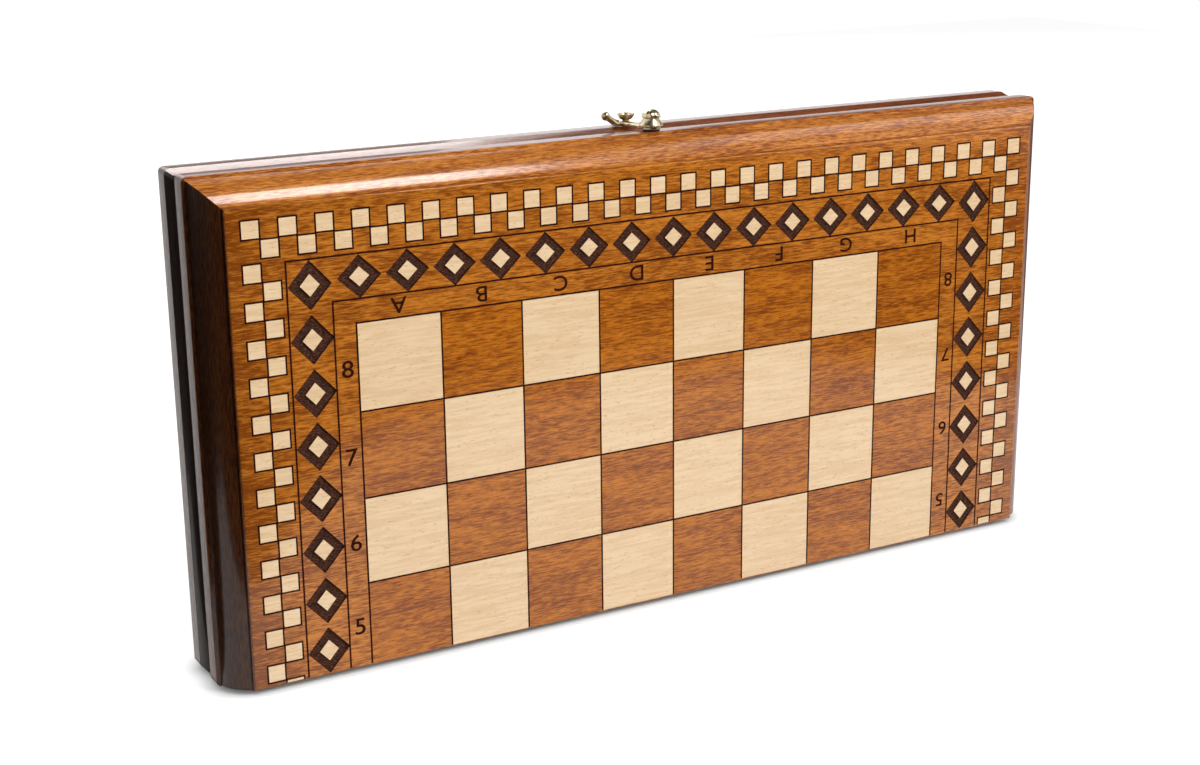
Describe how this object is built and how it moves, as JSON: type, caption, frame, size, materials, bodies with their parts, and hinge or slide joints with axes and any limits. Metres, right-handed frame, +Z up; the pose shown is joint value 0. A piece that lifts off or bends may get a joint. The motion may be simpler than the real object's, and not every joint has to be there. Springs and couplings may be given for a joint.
{
  "type": "chess and backgammon board",
  "caption": "Folding wooden game box: moulded frame halves on brass butt hinges, chess field outside, backgammon trays inside, swing hook clasp on the edge.",
  "frame": {"origin": "on the standing surface, under the middle of the closed box", "axes": "+X along the hinge to the box's right seen from the front, -Y out of the front chess face, +Z up to the clasp edge; the halves meet at Y = 0"},
  "size_m": [0.5, 0.063, 0.2624],
  "materials": {
    "stained_panel": "stained and lacquered beech ply",
    "stained_frame": "stained and glossy lacquered beech",
    "plain_rail": "stained satin beech",
    "hinge_brass": "rolled and lightly tarnished",
    "clasp_brass": "turned and polished",
    "screw_brass": "turned",
    "pin_steel": "drawn wire"
  },
  "bodies": {
    "front_half": {"front_panel": "stained_panel", "front_top_rail": "stained_frame", "front_left_rail": "stained_frame", "front_right_rail": "stained_frame", "front_hinge_rail": "plain_rail", "hinge_front_screws": "screw_brass", "left_hinge_front_leaf": "hinge_brass", "right_hinge_front_leaf": "hinge_brass", "left_hinge_pin": "pin_steel", "right_hinge_pin": "pin_steel", "clasp_pivot_washer": "clasp_brass", "clasp_pivot_post": "clasp_brass"},
    "back_half": {"back_panel": "stained_panel", "back_top_rail": "stained_frame", "back_left_rail": "stained_frame", "back_right_rail": "stained_frame", "back_hinge_rail": "plain_rail", "hinge_back_screws": "screw_brass", "left_hinge_back_leaf": "hinge_brass", "right_hinge_back_leaf": "hinge_brass", "clasp_keeper_washer": "clasp_brass", "clasp_keeper_stud": "clasp_brass"},
    "swing_hook": {"clasp_hook": "clasp_brass"}
  },
  "joints": [
    {"name": "lid_hinge", "type": "hinge", "parent": "front_half", "child": "back_half", "pos_m": [0, 0, 0.002], "axis": [-1, 0, 0], "range_deg": [0, 180]},
    {"name": "hook_swing", "type": "hinge", "parent": "front_half", "child": "swing_hook", "pos_m": [-0.002, -0.01295, 0.2532], "axis": [0, 0, 1], "range_deg": [-9, 75]}
  ]
}
